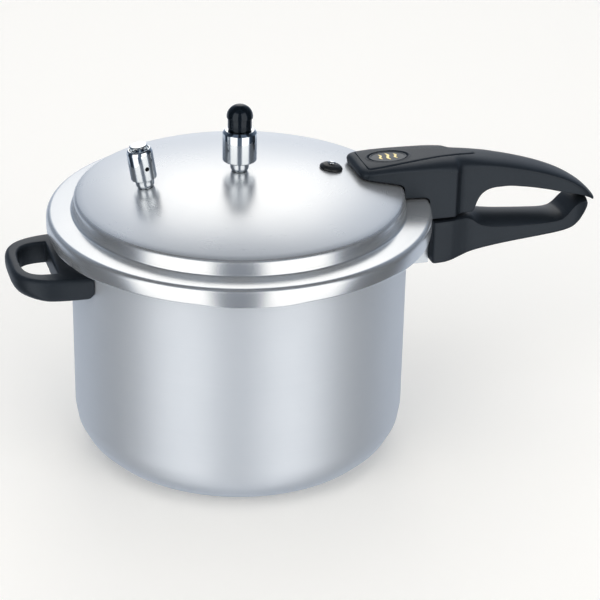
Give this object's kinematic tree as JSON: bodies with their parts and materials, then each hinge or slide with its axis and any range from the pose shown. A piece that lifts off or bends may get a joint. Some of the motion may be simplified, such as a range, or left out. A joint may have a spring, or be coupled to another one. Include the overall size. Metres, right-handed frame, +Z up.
{
  "type": "pressure canner",
  "caption": "Round aluminium pressure canner with an outside bayonet lid, long twin handle, helper handle, weighted vent, relief valve and safety plug.",
  "frame": {"origin": "centre of the flat base of the pot, on the surface it stands on", "axes": "+Z up along the pot axis, +X towards the end of the long twin handle"},
  "size_m": [0.439, 0.2736, 0.2588],
  "materials": {
    "satin_aluminium": "satin spun and polished aluminium",
    "bright_chrome": "bright chrome plating",
    "bakelite": "fine-grained matte phenolic moulding",
    "gloss_bakelite": "polished phenolic moulding",
    "badge_foil": "dark lacquered plate with a plain gilt mark",
    "rubber": "moulded black rubber",
    "grey_rubber": "moulded grey silicone rubber",
    "zinc_steel": "plated steel"
  },
  "bodies": {
    "pot": {"pot_body": "satin_aluminium", "pot_handle_bracket": "zinc_steel", "pot_bracket_rivet_1": "satin_aluminium", "pot_bracket_rivet_2": "satin_aluminium", "pot_handle": "bakelite", "pot_handle_screw": "zinc_steel", "helper_bracket": "zinc_steel", "helper_bracket_rivet_1": "satin_aluminium", "helper_bracket_rivet_2": "satin_aluminium", "helper_handle": "bakelite", "helper_handle_screw": "zinc_steel"},
    "lid": {"lid_shell": "satin_aluminium", "sealing_gasket": "grey_rubber", "lid_handle_bracket": "zinc_steel", "lid_bracket_rivet_1": "satin_aluminium", "lid_bracket_rivet_2": "satin_aluminium", "lid_handle": "bakelite", "lid_handle_screw": "zinc_steel", "handle_badge": "badge_foil", "vent_tube": "bright_chrome", "vent_washer": "rubber", "vent_nut": "bright_chrome", "relief_valve_body": "bright_chrome", "relief_valve_cap": "bright_chrome", "relief_spring": "zinc_steel", "relief_valve_washer": "rubber", "relief_valve_nut": "bright_chrome", "safety_plug": "rubber"},
    "weight": {"weight_body": "bright_chrome", "weight_knob": "gloss_bakelite", "weight_needle": "zinc_steel"},
    "poppet": {"relief_poppet": "zinc_steel"},
    "pin": {"indicator_pin": "bright_chrome"},
    "rack": {"canning_rack": "satin_aluminium"}
  },
  "joints": [
    {"name": "lid_turn", "type": "hinge", "parent": "pot", "child": "lid", "pos_m": [0, 0, 0.175], "axis": [0, 0, 1], "range_deg": [0, 30]},
    {"name": "weight_lift", "type": "slide", "parent": "lid", "child": "weight", "axis": [0, 0, 1], "range_m": [0, 0.03]},
    {"name": "relief_lift", "type": "slide", "parent": "lid", "child": "poppet", "axis": [-0.157, 0, 0.9876], "range_m": [0, 0.0015], "stiffness_N_per_m": 3000, "springref_m": -0.005, "deforming": ["relief_spring"]},
    {"name": "pin_rise", "type": "slide", "parent": "lid", "child": "pin", "axis": [0.157, 0, 0.9876], "range_m": [0, 0.003]},
    {"name": "rack_lift", "type": "slide", "parent": "pot", "child": "rack", "axis": [0, 0, 1], "range_m": [0, 0.14]}
  ]
}
